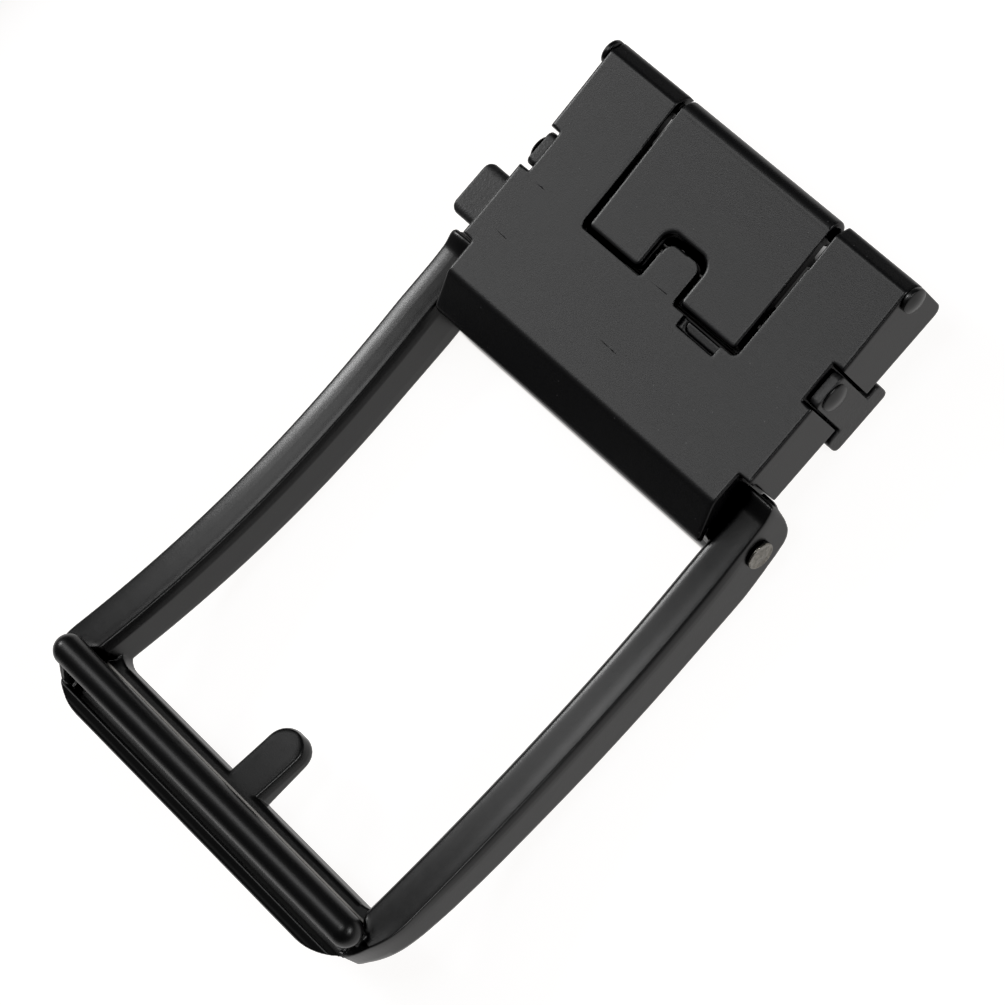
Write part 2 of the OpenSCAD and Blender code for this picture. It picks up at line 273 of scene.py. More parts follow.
def slab(points, thick, radius, depth=0.0, drop_share=1.0):
    """Flat sheet cut to an outline, with round upper and lower edges.

    The outline runs counterclockwise. radius is a function of a point of it, and the lower edge
    has half of it. The upper edge drops by a share of it, so that a low share gives a wide
    shallow edge. depth is how far the whole sheet lies below 0.
    """
    low_share = 0.5
    layers = [(low_share * (1 - math.sin(a)),
               lambda r, a=a: -thick + low_share * r * (1 - math.cos(a)) - depth)
              for a in quarter(4)]
    layers += [(1 - math.cos(a), lambda r, a=a: -drop_share * r * (1 - math.sin(a)) - depth)
               for a in quarter(4)]
    rings = []
    for share, level in layers:
        ring = inset(points, lambda p: radius(p) * share)
        rings.append([(q[0], q[1], level(radius(p))) for p, q in zip(points, ring)])
    return loft(rings)


def warp(obj, move):
    """Moves each point of a solid, given and returned as x, y and z in millimetres."""
    for v in obj.data.vertices:
        x, y, z = (c / MM + o for c, o in zip(v.co, ORIGIN))
        v.co = place(*move(x, y, z))
    return obj


def bake(obj):
    """Applies an object's modifiers."""
    graph = bpy.context.evaluated_depsgraph_get()
    me = bpy.data.meshes.new_from_object(obj.evaluated_get(graph))
    old = obj.data
    obj.modifiers.clear()
    obj.data = me
    bpy.data.meshes.remove(old)
    return obj


def drop(obj):
    """Deletes an object with its mesh."""
    me = obj.data
    bpy.data.objects.remove(obj)
    bpy.data.meshes.remove(me)


def boolean(base, other, operation):
    """Changes a solid by another one, which is used up."""
    mod = base.modifiers.new("cut", "BOOLEAN")
    mod.operation = operation
    mod.solver = "EXACT"
    mod.object = other
    bake(base)
    drop(other)
    return base


def cut(base, other):
    return boolean(base, other, "DIFFERENCE")


def common(base, other):
    return boolean(base, other, "INTERSECT")


def bevel(obj, width, angle):
    """Rounds the edges that turn by more than an angle in degrees."""
    mod = obj.modifiers.new("edge", "BEVEL")
    mod.width = width * MM
    mod.segments = 4
    mod.limit_method = "ANGLE"
    mod.angle_limit = math.radians(angle)
    mod.use_clamp_overlap = True
    return bake(obj)


def merge(name, parts):
    """Puts several closed solids in one mesh."""
    bm = bmesh.new()
    for part in parts:
        bm.from_mesh(part.data)
    for part in parts:
        drop(part)
    return mesh_object(bm, name)


def mirrored(obj):
    """A copy of a solid on the other side of the buckle."""
    bm = bmesh.new()
    bm.from_mesh(obj.data)
    for v in bm.verts:
        v.co.y = -2 * ORIGIN[1] * MM - v.co.y
    bmesh.ops.reverse_faces(bm, faces=bm.faces)
    return mesh_object(bm, "work")


def smooth_faces(obj):
    for face in obj.data.polygons:
        face.use_smooth = True
    return obj


def fuse(obj, voxel, rounds, keep, move=None):
    """Joins overlapping solids into one skin, rounds its edges, bends it and thins it out.

    voxel is the size of the skin's cells, rounds how often they are evened out, and keep the
    share of the faces that stays.
    """
    mod = obj.modifiers.new("skin", "REMESH")
    mod.mode = "VOXEL"
    mod.voxel_size = voxel * MM
    mod.adaptivity = 0.0
    bake(obj)
    mod = obj.modifiers.new("round", "SMOOTH")
    mod.factor = 0.5
    mod.iterations = rounds
    bake(obj)
    if move:
        warp(obj, move)
    mod = obj.modifiers.new("thin", "DECIMATE")
    mod.ratio = keep
    smooth_faces(bake(obj))
    mod = obj.modifiers.new("shade", "WEIGHTED_NORMAL")
    mod.weight = 60
    mod.keep_sharp = False
    return bake(obj)


# Frame

def along(points, x):
    """Height at x on a line through points."""
    for (x0, z0), (x1, z1) in zip(points, points[1:]):
        if x <= x1:
            return z0 + (z1 - z0) * (x - x0) / (x1 - x0)
    return points[-1][1]


def ease(x, x0, x1):
    """Runs smoothly from 0 at x0 to 1 at x1."""
    t = max(0.0, min(1.0, (x - x0) / (x1 - x0)))
    return t * t * (3 - 2 * t)


def front_z(x):
    """Height of the frame's front face, which levels out under the end bar."""
    if x < LEVEL[0]:
        return LEVEL[1] + (LEVEL[0] - x) * LEVEL_SLOPE
    if x < FRONT_LOW[0]:
        return curve_z(FRONT_LOW, FRONT_R, x)
    return along(EAR_FRONT, x)


def back_z(x):
    """Height of the rails' back along their length."""
    return curve_z(BACK_LOW, BACK_R, x)


def bar_top(x):
    """Height of the end bar's ledge and of the peg, below the rails' back."""
    return curve_z(BACK_LOW, BACK_R, x, BAR_DROP)


def off_ear(x):
    """0 at the hinge ears and 1 along the rest of the rails."""
    return ease(x, 1.0, -6.0)


def spread(x):
    """How much wider the frame is at x than at its hinges."""
    return 1 + max(0.0, FLARE_X - x) ** 2 / FLARE_SCALE


def straight(x, y, z):
    """A point of the frame as if its rails ran level and parallel."""
    return x, y / spread(x), z - back_z(x)


def curved(x, y, z):
    """Back from the level frame, which also sits a little to the left except at its ears."""
    return x, y * spread(x) + RAIL_PLAY * off_ear(x), z + back_z(x)


def flank(reach, steep, r, wall):
    """One side of a cast bar's section, from the level top outwards, as (out, down) points.

    The crown steepens over its reach, a round edge takes it to 60 degrees, and the wall goes on
    in short stretches of (length, angle). The first column is 0 where the round edge ends.
    """
    power = 2.5
    points = []
    for k in range(7):
        q = k / 6
        points.append((reach * q - reach, steep * reach / power * q ** power))
    t0 = math.atan(steep)
    t1 = math.radians(60)
    x0, z0 = points[-1]
    for k in range(1, 6):
        t = t0 + (t1 - t0) * k / 5
        points.append((x0 + r * (math.sin(t) - math.sin(t0)), z0 + r * (math.cos(t0) - math.cos(t))))
    edge = points[-1][0]
    for length, angle in wall:
        t = math.radians(angle)
        x0, z0 = points[-1]
        points.append((x0 + length * math.cos(t), z0 + length * math.sin(t)))
    return [(x - edge, z) for x, z in points]


def casting_ring(x, yi, yo, top, low, inner, outer, soft=FOOT_R):
    """Section of a cast bar between its two flanks, with a radius at each of the front edges.

    soft is the radius at the outer one. A low or narrow bar cuts its flanks and radii short.
    """
    sliver = 0.01
    least_wall = 0.05
    room = top - low - FOOT_R - least_wall
    middle = (yi + yo) / 2
    left = [(min(yi - o, middle - sliver), top - min(d, room)) for o, d in inner]
    right = [(max(yo + o, middle + sliver), top - min(d, room)) for o, d in outer]
    yi_low = left[-1][0]
    yo_low = right[-1][0]
    near_foot = FOOT_R * 0.3
    points = [(yi_low + FOOT_R, low), (yi_low + near_foot, low + near_foot), (yi_low, low + FOOT_R)]
    points += left[::-1] + right
    soft = min(soft, room, yo_low - yi_low - FOOT_R - 2 * sliver)
    points += [(yo_low - soft * (1 - math.cos(a)), low + soft * (1 - math.sin(a)))
               for a in quarter(4)]
    return [(x, y, z) for y, z in points]


def rail_sides(x, corner_r):
    """Inner and outer face of a rail at x, with the frame's corner and the ear's round end."""
    beside_trough = 0.6
    ear_thinner = 0.12
    round_x = 2.4
    inner = RAIL_IN + beside_trough * ease(x, -45.2, -46.0) - beside_trough * ease(x, -48.6, -50.0)
    outer = RAIL_OUT - ear_thinner * (1 - off_ear(x))
    corner_x = FRAME_END + corner_r
    if x > EAR_STEP_X:
        inner = WALL_OUT + 0.2
    if x < corner_x:
        outer += math.sqrt(corner_r ** 2 - (x - corner_x) ** 2) - corner_r
    if x > round_x:
        outer -= 1 - math.sqrt(1 - min(1.0, x - round_x) ** 2)
    return inner, outer


def rail_top(x):
    """Top of a rail over its curved back.

    It rises towards the ear, steps down beside the box and slopes away past the rod.
    """
    edge_x = 2.8
    edge_r = 0.32
    top = 0.4 * ease(x, 1.2, 3.0)
    if x > EAR_STEP_X:
        top -= 0.9
    elif x > edge_x:
        top -= edge_r - math.sqrt(edge_r ** 2 - (x - edge_x) ** 2)
    if x < ROD_AT[0]:
        slope = along([(-50.2, -0.2), (-49.6, 0.2), (-48.6, 0.9), (ROD_AT[0], 1.56)], x)
        top = min(top, slope - back_z(x))
    return top


def rail_ring(x, inner_edge, outer_edge, corner_r):
    """Section of a rail at x. The crown is lower and the walls steeper at the ear."""
    inner_crown = 0.9
    outer_crown = 1.9
    least_width = 0.3
    least_height = 0.75
    on_ear = 1 - off_ear(x)
    yi, yo = rail_sides(x, corner_r)
    top = rail_top(x)
    low = min(front_z(x) - back_z(x), top - least_height)
    bulge = (0.15 + 0.85 * off_ear(x)) * (1 - 0.8 * ease(x, -34, -45))
    inner = flank(inner_crown, *inner_edge,
                  [(0.5, 62 + 20 * on_ear), (0.5, 66 + 18 * on_ear), (2.9, 87.5)])
    outer = flank(outer_crown, *outer_edge,
                  [(0.3, 90 - 26 * bulge), (0.4, 90 - 15 * bulge), (0.5, 90 - 4 * bulge)])
    soft = FOOT_R + 0.4 * ease(x, -20, -36) + 0.6 * ease(x, -40, -46)
    return casting_ring(x, yi, max(yo, yi + least_width), top, low, inner, outer, soft)


def rail(start, inner_edge, outer_edge, corner_r):
    """A right-hand rail with its hinge ear, level and straight.

    Each edge is given as how steep the crown gets before it and its radius.
    """
    stations = span(start, -4.0, 0.4) + span(-3.8, 2.8, 0.2)
    stations += [2.9, 2.98, 3.04, 3.08, 3.11, 3.12, 3.2, 3.28, 3.34, 3.4]
    rings = [rail_ring(x, inner_edge, outer_edge, corner_r) for x in stations]
    return loft([[(x, -y, z) for x, y, z in ring] for ring in rings])


def peg_piece():
    """Short flat peg with a round tip and sides that flare towards the front."""
    half = 1.85
    tip = -38.75
    round_x = tip - half
    side = flank(0.5, 0.2, 0.3, [(0.4, 64), (0.4, 70), (0.6, 88)])
    rings = []
    for x in span(-45.8, round_x, 0.6) + [round_x + half * math.sin(a) for a in quarter(12)[1:-1]]:
        wide = math.sqrt(half ** 2 - max(0.0, x - round_x) ** 2)
        low = along([(-46, -3.9), (-39.3, -4.7), (tip, -4.6)], x)
        rings.append(casting_ring(x, -wide, wide, bar_top(x), low, side, side))
    return loft(rings)


def end_block(side, corner_r):
    """Solid metal in a corner of the frame, outside the trough's end."""
    inner_x = -46.5
    inner_y = 18.35
    inside = 0.3
    corner_x = FRAME_END + corner_r
    middle = RAIL_OUT * spread(corner_x) - corner_r - inside
    start = math.degrees(math.acos((inner_x - corner_x) / corner_r))
    end = 180 - math.degrees(math.asin((inner_y - middle) / corner_r))
    plan = [(inner_x, inner_y)] + arc(corner_x + inside, middle, corner_r, start, end, 12)
    return prism([(x, side * y) for x, y in plan], -2.3, -0.15, "z")


def bar_section():
    """Section of the end bar: front face, ledge, trough under the rod and raised lip."""
    ledge_x = -46.3
    trough_x = -49.4
    trough_z = -2.1
    lip_x = -49.95
    lip_r = 0.28
    edge_r = 0.45
    under_r = 1.15
    points = [(x, front_z(x)) for x in span(FRAME_END + 0.9, WINDOW_X, 0.6)]
    points += [(WINDOW_X, bar_top(WINDOW_X) - 0.3), (WINDOW_X - 0.1, bar_top(WINDOW_X) - 0.08),
               (WINDOW_X - 0.3, bar_top(WINDOW_X - 0.3))]
    points += [(ledge_x + 0.2, bar_top(ledge_x + 0.2)), (ledge_x + 0.05, bar_top(ledge_x) - 0.06),
               (ledge_x, bar_top(ledge_x) - 0.2)]
    points += [(ledge_x - 0.05, trough_z + 0.2), (ledge_x - 0.25, trough_z), (trough_x, trough_z),
               (lip_x + 0.35, trough_z + 0.2)]
    points += arc(lip_x, 0.0, lip_r, 0, 80, 6)
    points += arc(FRAME_END + edge_r, -0.35, edge_r, 80, 170, 8)
    return points + arc(FRAME_END + under_r, -1.9, under_r, 180, 235, 6)


def bar_plan():
    """The end bar seen from behind, with the frame's two round corners."""
    inner_x = -42.5
    side_y = RAIL_OUT + 0.9
    points = [(inner_x, -side_y), (inner_x, side_y)]
    for side, corner_r, start in ((1, LEFT_CORNER_R, 90), (-1, RIGHT_CORNER_R, 180)):
        corner_x = FRAME_END + corner_r
        middle = RAIL_OUT * spread(corner_x) - corner_r
        points += arc(corner_x, side * middle, corner_r, start, start + 90, 20)
    return points


def end_bar():
    """The end bar, with its right corner drawn in towards the front."""
    reach = RAIL_OUT + 1
    bar = common(prism(bar_section(), -reach, reach, "y"), prism(bar_plan(), *BAR_DEPTH, "z"))
    return warp(bar, lambda x, y, z: (x, y + 0.85 * ease(z, -1.2, -2.9) * ease(y, -15, -18.5), z))


def window_fillet():
    """Metal that rounds the window's inner corner on the left."""
    r = 2.3
    corner_y = 18.65
    lap_x = WINDOW_X - 0.3
    lap_y = corner_y + 0.4
    fill = [(lap_x, lap_y), (lap_x, corner_y - r)]
    fill += arc(WINDOW_X + r, corner_y - r, r, 180, 90, 12) + [(WINDOW_X + r, lap_y)]
    sheet = [(x, front_z(x)) for x in span(-46, -42, 0.5)]
    sheet += [(x, bar_top(x)) for x in span(-42, -46, 0.5)]
    return common(prism(sheet, 0, 22, "y"), prism(fill, *BAR_DEPTH, "z"))


def saddle(side):
    """Small bridge that holds an end of the rod."""
    half_x = 0.6
    half_y = 0.75
    y = side * 19.45
    return cube((ROD_AT[0] - half_x, y - half_y, -1), (ROD_AT[0] + half_x, y + half_y, 1.7))


def frame_piece():
    """Made with level parallel rails, so that their edges come out clean, and then curved."""
    fillet = window_fillet()
    parts = [end_bar(), fillet, mirrored(fillet), peg_piece(), end_block(1, LEFT_CORNER_R),
             end_block(-1, RIGHT_CORNER_R), saddle(-1), saddle(1)]
    for part in parts:
        warp(part, straight)
    right = rail(start=-49.1, inner_edge=(0.3, 0.7), outer_edge=(0.26, 0.15),
                 corner_r=RIGHT_CORNER_R)
    left = rail(start=-50.0, inner_edge=(0.34, 0.2), outer_edge=(0.3, 0.3),
                corner_r=LEFT_CORNER_R)
    whole = merge("frame_casting", parts + [right, mirrored(left)])
    drop(left)
    return fuse(whole, voxel=0.1, rounds=2, keep=0.25, move=curved)


def rod_piece():
    """Plain round bar with domed ends."""
    dome_y = ROD_LEN / 2 - ROD_R
    cap = [(dome_y + ROD_R * math.sin(a), ROD_R * math.cos(a)) for a in quarter(14)]
    side = [(y, ROD_R) for y in span(-dome_y, dome_y, 1.5)]
    profile = [(-y, r) for y, r in cap[::-1]] + side[1:-1] + cap
    return smooth_faces(lathe_y(ROD_AT, profile, "rod_bar", 64))


def headed_bar(at, head_r, face, name):
    """A pin with a domed head on each side of the housing."""
    under = WALL_OUT + 0.04
    chamfer = 0.06
    dome = 0.22
    edge = 0.14
    right = [(under, PIN_R), (under, head_r - chamfer), (under + chamfer, head_r)]
    right += [(face - dome - edge + edge * math.sin(a), head_r - edge + edge * math.cos(a))
              for a in (0.0, 0.35, 0.7, 1.05)]
    right += [(face - dome * (k / 8) ** 2, (head_r - edge * 1.1) * k / 8) for k in range(7, -1, -1)]
    left = [(-y, r) for y, r in right[::-1]]
    return smooth_faces(lathe_y(at, left + right, name, 64))


def rivet_piece(side, name):
    """Hinge rivet: formed tail inside the cheek, shank, and a flat head outside the ear."""
    edge = 0.12
    face = 21.5
    dish = 0.07
    head = 1.35
    shank = 0.9
    tail = 1.3
    tail_y = NECK_HALF - SHEET - 0.04
    tail_end = NECK_HALF - SHEET - 0.64
    under = RAIL_OUT + 0.04
    profile = [(tail_end, 0.0), (tail_end, tail - 0.1), (NECK_HALF - SHEET - 0.56, tail),
               (tail_y, tail), (tail_y, shank), (under, shank), (under, head)]
    profile += [(face - edge + edge * math.sin(a), head - edge + edge * math.cos(a))
                for a in (0.0, 0.4, 0.8, 1.2, 1.57)]
    profile += [(face - 0.02, head - edge - 0.06), (face - dish, head - edge - 0.14)]
    profile += [(face - dish + 0.05 * (1 - k / 5), (head - edge - 0.2) * k / 5)
                for k in (4, 3, 2, 1, 0)]
    return smooth_faces(lathe_y(FRAME_HINGE, [(side * y, r) for y, r in profile], name, 64))


# Housing

def plate_outline():
    """Neck, wide part with its ear slots, and the opening for the flap round the tongue.

    Each point is given with the radius of its corner.
    """
    half = WALL_OUT
    near, end = -3.4, BOX_END
    open_x, open_y0, open_y1 = 10.35, -10.06, 9.98
    tongue_x, tongue_y0, tongue_y1 = 14.45, -1.95, 2.05
    notch_x, notch_y0, notch_y1 = NOTCH[0], NOTCH[2], NOTCH[3]
    points = [
        (near, -NECK_HALF, 0.45), (STEP_X, -NECK_HALF, 0.15), (STEP_X, -half, 0.1),
        (SLOT[0], -half, 0), (SLOT[0], -SLOT_FLOOR, 0.1), (SLOT[1], -SLOT_FLOOR, 0.1),
        (SLOT[1], -half, 0), (end, -half, 0.1), (end, open_y0, 0), (open_x, open_y0, 0.7),
        (open_x, notch_y0, 0.1), (notch_x, notch_y0, 0.3), (notch_x, notch_y1, 0.3),
        (open_x, notch_y1, 0.1), (open_x, tongue_y0, 0.5), (tongue_x, tongue_y0, 1.0),
        (tongue_x, tongue_y1, 1.0), (open_x, tongue_y1, 0.5), (open_x, open_y1, 0.6),
        (end, open_y1, 0), (end, half, 0.1), (SLOT[1], half, 0), (SLOT[1], SLOT_FLOOR, 0.1),
        (LEFT_SLOT_X, SLOT_FLOOR, 0.1), (LEFT_SLOT_X, half, 0), (STEP_X, half, 0.1),
        (STEP_X, NECK_HALF, 0.15), (near, NECK_HALF, 0.45),
    ]
    return rounded([(x, y) for x, y, r in points], [r for x, y, r in points], 6)


def plate_edge(p):
    """Edge radius of the plate: larger along the bends to the side walls and at the near end."""
    return 0.32 if abs(p[1]) > 18.6 or p[0] < -2.9 else 0.2


def fold(x, slope, soft):
    """Height lost beyond a bend at 0 that starts and ends softly."""
    if abs(x) < soft:
        return slope * (x + soft) ** 2 / (4 * soft)
    return slope * max(0.0, x)


def plate_bend(x):
    """The plate is hollow along its length, with a bevel at each end."""
    near_slope = 0.7176
    far_slope = 0.813
    bevel_x = BOX_END - 1.23
    hollow = plate_z(max(0.0, min(x, bevel_x)))
    return hollow - fold(-x, near_slope, 0.4) - fold(x - bevel_x, far_slope, 0.25)


def bent(x, y, z):
    """Where a point of the flat box goes as its plate is bent. The walls' lower edges stay."""
    return x, y, z + plate_bend(x) * ease(z, -5.6, -1.2)


def flat(x, y, z):
    """The point of the flat box that the bend brings here, found by halving."""
    low, high = -12.0, 5.0
    for _ in range(30):
        middle = (low + high) / 2
        if bent(x, y, middle)[2] < z:
            low = middle
        else:
            high = middle
    return x, y, low


def wall_section():
    """Side wall with its round far corner. It reaches up into the plate."""
    r = 0.9
    top = -0.5
    corner = arc(BOX_END - r, -WALL_H + r, r, -90, 0, 8)
    low = [(WALL_X, -WALL_H), (BOX_END - r, -WALL_H)]
    return low + corner[1:] + [(BOX_END, top), (WALL_X, top)]


def cheek_section():
    """Hinge cheek beside the neck, round about the rivet."""
    x, z = FRAME_HINGE
    top = -0.6
    root_x = 4.6
    return [(-2.6, -3.2), (0.3, top), (root_x, top), (root_x, -WALL_H), (3.4, -WALL_H),
            (x + 0.6, z - 2.15)] + arc(x, z, 2.2, -90, -190, 10)


def side_pieces():
    """Wall, post at the neck, hinge cheek, boss behind the slot and knuckle of the left side."""
    wall = prism(wall_section(), WALL_IN, WALL_OUT, "y")
    post = cube((WALL_X, NECK_HALF - SHEET, -WALL_H), (WALL_X + SHEET + 0.15, WALL_OUT, -0.6))
    cheek = warp(prism(cheek_section(), NECK_HALF - SHEET, NECK_HALF, "y"), flat)
    boss_x = LEVER_HINGE[0]
    half = 3.7
    boss = cube((boss_x - half, SLOT_FLOOR - 1.1, -WALL_H + 0.15),
                (boss_x + half, WALL_IN + 0.1, -0.5))
    x = BOX_END
    knuckle = [(x - 2.6, 0.5), (x - 1.2, 0.6), (x, -0.4), (x, -1.1), (x - 0.5, -1.5), (x - 2.4, -1.5)]
    return [wall, post, cheek, boss, warp(prism(knuckle, 10.3, WALL_OUT - 0.3, "y"), flat)]


def cut_slots(part):
    """Opens the slots for the lever's ears. The left one starts a little earlier."""
    for side, start in ((-1, SLOT[0]), (1, LEFT_SLOT_X)):
        low, high = sorted((side * SLOT_FLOOR, side * (WALL_OUT + 1)))
        cut(part, cube((start, low, -10), (SLOT[1], high, 5)))


def cut_bores(part):
    """Opens the bores for both pins and the rivets in a part of the flat box."""
    for at, r in ((FLAP_HINGE, PIN_BORE_R), (LEVER_HINGE, PIN_BORE_R), (FRAME_HINGE, RIVET_BORE_R)):
        cut(part, warp(bore(at, r), flat))


def nail_notch():
    """Raised floor of the notch beside the opening, with a groove round it."""
    x0, x1, y0, y1 = NOTCH
    side = 0.04
    near = 0.26
    far = 0.65
    slope = 0.1
    pad = rounded([(x0 + near, y0 + side), (x1 - far, y0 + side), (x1 - far, y1 - 0.6),
                   (x0 + near, y1 - 0.6)], [0.3, 0.1, 0.1, 0.6])
    bed = cube((x0 - 0.3, y0 - 0.3, -0.98), (x1 - 0.6, y1 + 0.3, -0.72))
    pad_floor = warp(prism(pad, -0.9, -0.38, "z"), lambda x, y, z: (x, y, z + slope * (x - x1)))
    return [pad_floor, bed]


def housing_piece():
    """Made flat and then bent, with each part cut before they join."""
    plate = slab(plate_outline(), SHEET, plate_edge)
    left = side_pieces()
    sides = left + [mirrored(part) for part in left]
    for part in sides:
        cut_slots(part)
        cut_bores(part)
    whole = merge("housing_sheet", [plate] + nail_notch() + sides)
    return fuse(whole, voxel=0.09, rounds=2, keep=0.2, move=bent)


# Clamp flap

def flap_outline():
    """Wide sheet with the recess that clears the plate's tongue."""
    y0, y1 = FLAP_SIDES
    near, end = 10.85, FLAP_HINGE[0] + 0.1
    recess_x, recess_y0, recess_y1 = 15.2, -2.45, 2.95
    points = [(near, y0), (end, y0), (end, y1), (near, y1), (near, recess_y1), (recess_x, recess_y1),
              (recess_x, recess_y0), (near, recess_y0)]
    return rounded(points, [0.45, 0, 0, 0.45, 0.55, 1.25, 1.25, 0.55], 8)


def flap_edge(p):
    """Edge radius of the flap: large, except where its eye takes over."""
    return 0.01 if p[0] > FLAP_HINGE[0] else 0.4


def flap_lip(outline):
    """The lower part of the sheet, which stands out a little except on the right."""
    depth = 0.55

    def out(p):
        return -0.17 if p[0] < FLAP_HINGE[0] - 2 and p[1] > FLAP_SIDES[0] + 0.5 else 0.0

    return slab(inset(outline, out), SHEET - depth, lambda p: 0.1, depth)


def flap_eye():
    """Rolled eye round the pin, with rounded rims."""
    y0, y1 = FLAP_SIDES
    eye_r = 1.28
    edge = 0.27
    rim = [(edge * (1 - math.cos(a)), eye_r - edge * (1 - math.sin(a))) for a in quarter(4)]
    profile = [(y0 + d, r) for d, r in rim] + [(y1 - d, r) for d, r in rim[::-1]]
    return lathe_y(FLAP_HINGE, profile)


def hollowed(x, y, z):
    """Where a point of the flat flap goes as it takes on the plate's hollow."""
    return x, y, z + plate_z(x)


def unbend(obj):
    """Takes the plate's hollow out of a solid."""
    return warp(obj, lambda x, y, z: (x, y, z - plate_z(x)))


def flap_piece():
    """Made flat and then bent to the plate's hollow, so its eye and jaw are unbent first."""
    outline = flap_outline()
    sheet = slab(outline, SHEET, flap_edge, drop_share=0.6)
    lip = flap_lip(outline)
    eye = unbend(flap_eye())
    jaw = unbend(prism([(19.8, 0.2), (21.6, 0.2), (20.95, -2.4), (20.6, -2.4)], -8.9, 8.9, "y"))
    for part in (sheet, lip, eye):
        cut(part, unbend(bore(FLAP_HINGE, PIN_BORE_R)))
    whole = merge("clamp_flap_sheet", [sheet, lip, eye, jaw])
    return fuse(whole, voxel=0.08, rounds=2, keep=0.25, move=hollowed)


# Release lever

def lever_side():
    """Ear and foot of the lever, seen from the side."""
    ear_x0, ear_x1 = LEVER_HINGE[0] - 1.7, LEVER_HINGE[0] + 1.8
    foot_x0, foot_x1 = 9.9, 16.65
    foot_top = -6.35
    ear_top = -0.2
    points = [(foot_x0, REST_Z), (foot_x1, REST_Z), (foot_x1, foot_top), (ear_x1, foot_top),
              (ear_x1, ear_top), (ear_x0, ear_top), (ear_x0, foot_top), (foot_x0, foot_top)]
    return rounded(points, [0.6, 0.6, 0.6, 0, 0.6, 0.6, 0, 0.6])


def tab_piece():
    """Flat tab on the left with rolled sides and round outer corners."""
    r = 0.5
    wide = 0.9
    corner = 0.8
    lap = 0.02
    x0, x1 = 4.1, 9.7
    outer = 25.3
    top = -6.3

    def roll(x, start):
        half_turn = arc(x, top - r, r, start, start + 180, 12)
        return [(x + (px - x) * wide / r, pz) for px, pz in half_turn]

    section = roll(x1 - wide, -90) + roll(x0 + wide, 90)
    plan = [(x0 - 0.1, TAB_ROOT_Y), (x1 + 0.1, TAB_ROOT_Y)]
    plan += arc(x1 + lap - corner, outer - corner, corner, 0, 90, 8)
    plan += arc(x0 - lap + corner, outer - corner, corner, 90, 180, 8)
    return common(prism(section, TAB_ROOT_Y, 26, "y"), prism(plan, -9, -5, "z"))


def lever_piece():
    """Two bored ears on their feet, the cross plate, the pawl, and the tab on its web."""
    ear_in = SLOT_FLOOR + 0.09
    plate_half = 18.15
    pawl_half = 13
    ear = bevel(prism(lever_side(), ear_in, WALL_OUT, "y"), width=0.16, angle=50)
    plate = cube((10.5, -plate_half, REST_Z), (16.05, plate_half, REST_Z + 0.9))
    pawl = cube((10.7, -pawl_half, REST_Z), (11.6, pawl_half, REST_Z + 2.6))
    web = cube((8.7, TAB_ROOT_Y, REST_Z + 0.02), (11.1, ear_in - 0.3, -6.6))
    ears = [ear, mirrored(ear)]
    for part in ears:
        cut(part, bore(LEVER_HINGE, PIN_BORE_R))
    whole = merge("lever_sheet", ears + [plate, pawl, web, tab_piece()])
    return fuse(whole, voxel=0.09, rounds=3, keep=0.4)


# Shader nodes

def feed(tree, socket, value):
    """Gives an input a number or a colour, or links it to another node's output."""
    if isinstance(value, bpy.types.NodeSocket):
        tree.links.new(value, socket)
    elif isinstance(value, tuple):
        socket.default_value = value + (1,)
    else:
        socket.default_value = value


def maths(tree, operation, *values):
    """One operation on numbers or outputs."""
    node = tree.nodes.new("ShaderNodeMath")
    node.operation = operation
    for socket, value in zip(node.inputs, values):
        feed(tree, socket, value)
    return node.outputs[0]


def remap(tree, value, low=0.0, high=1.0, to_low=0.0, to_high=1.0, kind="LINEAR"):
    """Takes a range of values to another one."""
    node = tree.nodes.new("ShaderNodeMapRange")
    node.interpolation_type = kind
    feed(tree, node.inputs["Value"], value)
    feed(tree, node.inputs["From Min"], low)
    feed(tree, node.inputs["From Max"], high)
    feed(tree, node.inputs["To Min"], to_low)
    feed(tree, node.inputs["To Max"], to_high)
    return node.outputs["Result"]


def blend(tree, factor, one, two):
    """Mixes two colours."""
    node = tree.nodes.new("ShaderNodeMixRGB")
    feed(tree, node.inputs["Fac"], factor)
    feed(tree, node.inputs["Color1"], one)
    feed(tree, node.inputs["Color2"], two)
    return node.outputs["Color"]


def object_place(tree):
    """Place on the object, as one output."""
    return tree.nodes.new("ShaderNodeTexCoord").outputs["Object"]


def object_axes(tree):
    """Place on the object, as outputs X, Y and Z."""
    node = tree.nodes.new("ShaderNodeSeparateXYZ")
    feed(tree, node.inputs[0], object_place(tree))
    return node.outputs


def repaint(tree, mask, one, two):
    """Gives a material a new base colour, mixed of two by a mask. None is its colour so far."""
    socket = tree.nodes["Principled BSDF"].inputs["Base Color"]
    so_far = socket.links[0].from_socket
    feed(tree, socket, blend(tree, mask, one or so_far, two or so_far))


# Materials

